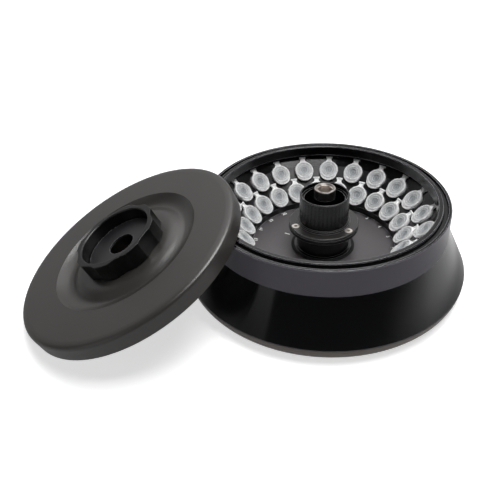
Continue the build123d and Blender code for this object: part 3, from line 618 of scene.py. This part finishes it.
# Painted highlight: a pale line along every edge.
with_edge_highlight = add(tree, "ShaderNodeMix",
            {"Factor": edge_highlight_mask(tree, EDGE_BREAK), "A": colour.outputs[2],
             "B": linear(COLLAR_EDGE_HIGHLIGHT_HEX)}, data_type="RGBA")
blotch = add(tree, "ShaderNodeTexNoise",
             {"Vector": place, "Scale": 1 / (HUB_BLOTCH_MM * MM), "Detail": 4.0})
satin = add(tree, "ShaderNodeMapRange",
            {0: blotch.outputs["Fac"], "To Min": HUB_CUT[0], "To Max": HUB_CUT[1]})
rings = turned_rings(tree, radius, HUB_RING_DEPTH)
tangent = add(tree, "ShaderNodeTangent", direction_type="RADIAL", axis="Z")
tree.links.new(with_edge_highlight.outputs[2], shader.inputs["Base Color"])
tree.links.new(satin.outputs[0], shader.inputs["Roughness"])
tree.links.new(rings.outputs[0], shader.inputs["Normal"])
tree.links.new(tangent.outputs[0], shader.inputs["Tangent"])
shader.inputs["IOR"].default_value = ANODISED_IOR
shader.inputs["Anisotropic"].default_value = HUB_STREAK
shader.inputs["Anisotropic Rotation"].default_value = ALONG_RINGS
for name in ("hub_base", "hub_nut", "hub_collar", "spindle_sleeve"):
    finish(nodes[name], hub_black)

# ------------------------------------------------------------------- clamping screw and fixings
# Socket screws and snap rings of stainless steel, turned and polished.  The clamping screw's side is
# blackened.  The knob's hollow screw is plain steel, oxidised black in a hot bath.
STEEL_HEX = "#d8d1cb"
BLACKENED_HEX = "#24211f"
OXIDISED_HEX = "#57534f"
HEAD_SIDE_R = 6.85 * MM
SCUFF_MM = 1.1111           # scuffs from the key, drawn coarser than 0.2 mm
POLISHED = (0.24, 0.36)     # roughness
HEAD_POLISHED = (0.26, 0.38)
SCREW_RING_MM = 1.1         # rings cut in the screw's side
SCREW_RING_H = 0.12 * MM


def steel(name, colour, rough):
    """Steel with faint scuffs, with its tree and its shader."""
    made, tree, shader = material(name)
    place = add(tree, "ShaderNodeTexCoord").outputs["Object"]
    scuff = add(tree, "ShaderNodeTexNoise",
                {"Vector": place, "Scale": 1 / (SCUFF_MM * MM), "Detail": 3.0})
    shine = add(tree, "ShaderNodeMapRange",
                {0: scuff.outputs["Fac"], "To Min": rough[0], "To Max": rough[1]})
    shader.inputs["Base Color"].default_value = linear(colour)
    shader.inputs["Metallic"].default_value = 1.0
    tree.links.new(shine.outputs[0], shader.inputs["Roughness"])
    return made, tree, shader


# Stainless steel, polished: warm bright metal that mirrors the studio softly.
polished = steel("stainless_steel_polished", STEEL_HEX, POLISHED)[0]
for name in ("hub_screws", "screw_clip", "retaining_ring"):
    finish(nodes[name], polished)

# Stainless steel with a blackened side: a bright ring on top of a dark, ringed cylinder.
head_steel, tree, shader = steel("stainless_steel_blackened_side", STEEL_HEX, HEAD_POLISHED)
_, _, radius, height = from_axis(tree)
bright = add(tree, "ShaderNodeMath", {0: radius, 1: HEAD_SIDE_R}, operation="LESS_THAN")
tone = add(tree, "ShaderNodeMix",
           {"Factor": bright.outputs[0], "A": linear(BLACKENED_HEX), "B": linear(STEEL_HEX)},
           data_type="RGBA")
climb = add(tree, "ShaderNodeMath", {0: height, 1: 2 * math.pi / (SCREW_RING_MM * MM)},
            operation="MULTIPLY")
ridge = add(tree, "ShaderNodeMath", {0: climb.outputs[0]}, operation="SINE")
side_only = add(tree, "ShaderNodeMath", {0: 1.0, 1: bright.outputs[0]}, operation="SUBTRACT")
rings = add(tree, "ShaderNodeBump",
            {"Height": ridge.outputs[0], "Strength": side_only.outputs[0],
             "Distance": SCREW_RING_H})
tree.links.new(tone.outputs[2], shader.inputs["Base Color"])
tree.links.new(bright.outputs[0], shader.inputs["Metallic"])
tree.links.new(rings.outputs[0], shader.inputs["Normal"])
finish(nodes["clamping_screw"], head_steel)

# Steel, hot oxidised: dark grey metal with a dim highlight.
finish(nodes["threaded_sleeve"], steel("steel_black_oxidised", OXIDISED_HEX, POLISHED)[0])

# ---------------------------------------------------------------------------------------- lid
# One piece of aluminium, turned with its skirt, rounded edge and shallow dish, then bead blasted and
# anodised dark grey.  It stands on its lower edge, off the rotor, and leans on the rim.
LID_HEX = "#32302e"
LID_PALE_HEX = "#3b3836"
OXIDE_IOR = 1.77            # sealed aluminium oxide
LID_SATIN = (0.31, 0.37)    # roughness
LID_CLOUD_MM = 40.0         # soft differences in the anodising
BLAST_MM = 0.45             # marks of the blasting beads, drawn coarser than their 0.1 mm
BLAST_H = 0.08 * MM
BLAST_DEPTH = 0.6

# Anodised aluminium, bead blasted: even warm dark grey with a broad soft sheen and a fine tooth.
blasted, tree, shader = material("dark_grey_anodised_aluminium_bead_blasted")
place = add(tree, "ShaderNodeTexCoord").outputs["Object"]
beads = add(tree, "ShaderNodeTexNoise",
            {"Vector": place, "Scale": 1 / (BLAST_MM * MM), "Detail": 3.0})
cloud = add(tree, "ShaderNodeTexNoise",
            {"Vector": place, "Scale": 1 / (LID_CLOUD_MM * MM), "Detail": 3.0})
tone = add(tree, "ShaderNodeMix",
           {"Factor": cloud.outputs["Fac"], "A": linear(LID_HEX), "B": linear(LID_PALE_HEX)},
           data_type="RGBA")
skin = add(tree, "ShaderNodeBump",
           {"Height": beads.outputs["Fac"], "Strength": BLAST_DEPTH, "Distance": BLAST_H})
satin = add(tree, "ShaderNodeMapRange",
            {0: cloud.outputs["Fac"], "To Min": LID_SATIN[0], "To Max": LID_SATIN[1]})
tree.links.new(tone.outputs[2], shader.inputs["Base Color"])
tree.links.new(satin.outputs[0], shader.inputs["Roughness"])
tree.links.new(skin.outputs[0], shader.inputs["Normal"])
shader.inputs["IOR"].default_value = OXIDE_IOR
finish(nodes["lid"], blasted)

# -------------------------------------------------------------------------------- knob's washer
# Turned aluminium disc, anodised black with a violet cast.  It lies on the bottom of the knob's cup,
# over the end of the hollow screw.
WASHER_HEX = "#19181b"
# Painted highlight round the washer's edge.
WASHER_EDGE_HIGHLIGHT_HEX = "#a09ea2"
WASHER_SATIN = (0.34, 0.44)  # roughness
WASHER_CLOUD_MM = 11.111

# Black anodised aluminium, satin: dark violet grey with a pale painted highlight round its edge.
washer, tree, shader = material("black_anodised_aluminium_satin")
place = add(tree, "ShaderNodeTexCoord").outputs["Object"]
cloud = add(tree, "ShaderNodeTexNoise",
            {"Vector": place, "Scale": 1 / (WASHER_CLOUD_MM * MM), "Detail": 4.0})
satin = add(tree, "ShaderNodeMapRange",
            {0: cloud.outputs["Fac"], "To Min": WASHER_SATIN[0], "To Max": WASHER_SATIN[1]})
# Painted highlight: a pale line round the edge.
with_edge_highlight = add(tree, "ShaderNodeMix",
            {"Factor": edge_highlight_mask(tree, EDGE_BREAK), "A": linear(WASHER_HEX),
             "B": linear(WASHER_EDGE_HIGHLIGHT_HEX)}, data_type="RGBA")
tree.links.new(with_edge_highlight.outputs[2], shader.inputs["Base Color"])
tree.links.new(satin.outputs[0], shader.inputs["Roughness"])
shader.inputs["IOR"].default_value = OXIDE_IOR
finish(nodes["knob_washer"], washer)

# --------------------------------------------------------------------------------------- knob
# Lobed hand wheel of glass-filled nylon, injection moulded in a fine spark-eroded mould.  It carries
# the hollow screw, which goes through the lid into the hub's collar.
KNOB_HEX = "#060606"
KNOB_EDGE_HIGHLIGHT_HEX = "#858280"   # moulded edges, rubbed paler by hands
# width of the painted edge highlight
KNOB_HIGHLIGHT_R = 0.15 * MM
KNOB_EDGE_R = 0.7 * MM      # painted highlight along the moulded edges
KNOB_ROUGH = (0.24, 0.36)
KNOB_IOR = 1.53
SPARK_MM = 0.55556          # pits of the eroded mould, drawn coarser than their 0.05 mm
SPARK_H = 0.05 * MM
SPARK_DEPTH = 0.2

# Nylon, moulded: black with a slight pitted gloss, soft light along its rounded edges, and a pale
# painted highlight on those edges.
nylon, tree, shader = material("black_nylon_moulded")
place = add(tree, "ShaderNodeTexCoord").outputs["Object"]
spark = add(tree, "ShaderNodeTexNoise",
            {"Vector": place, "Scale": 1 / (SPARK_MM * MM), "Detail": 2.0})
soft_edge = add(tree, "ShaderNodeBevel", {"Radius": KNOB_EDGE_R}, samples=EDGE_SAMPLES)
skin = add(tree, "ShaderNodeBump",
           {"Height": spark.outputs["Fac"], "Strength": SPARK_DEPTH, "Distance": SPARK_H,
            "Normal": soft_edge.outputs[0]})
satin = add(tree, "ShaderNodeMapRange",
            {0: spark.outputs["Fac"], "To Min": KNOB_ROUGH[0], "To Max": KNOB_ROUGH[1]})
# Painted highlight: a pale line along the moulded edges.
with_edge_highlight = add(tree, "ShaderNodeMix",
            {"Factor": edge_highlight_mask(tree, KNOB_HIGHLIGHT_R), "A": linear(KNOB_HEX),
             "B": linear(KNOB_EDGE_HIGHLIGHT_HEX)}, data_type="RGBA")
tree.links.new(with_edge_highlight.outputs[2], shader.inputs["Base Color"])
tree.links.new(satin.outputs[0], shader.inputs["Roughness"])
tree.links.new(skin.outputs[0], shader.inputs["Normal"])
shader.inputs["IOR"].default_value = KNOB_IOR
finish(nodes["knob"], nylon)
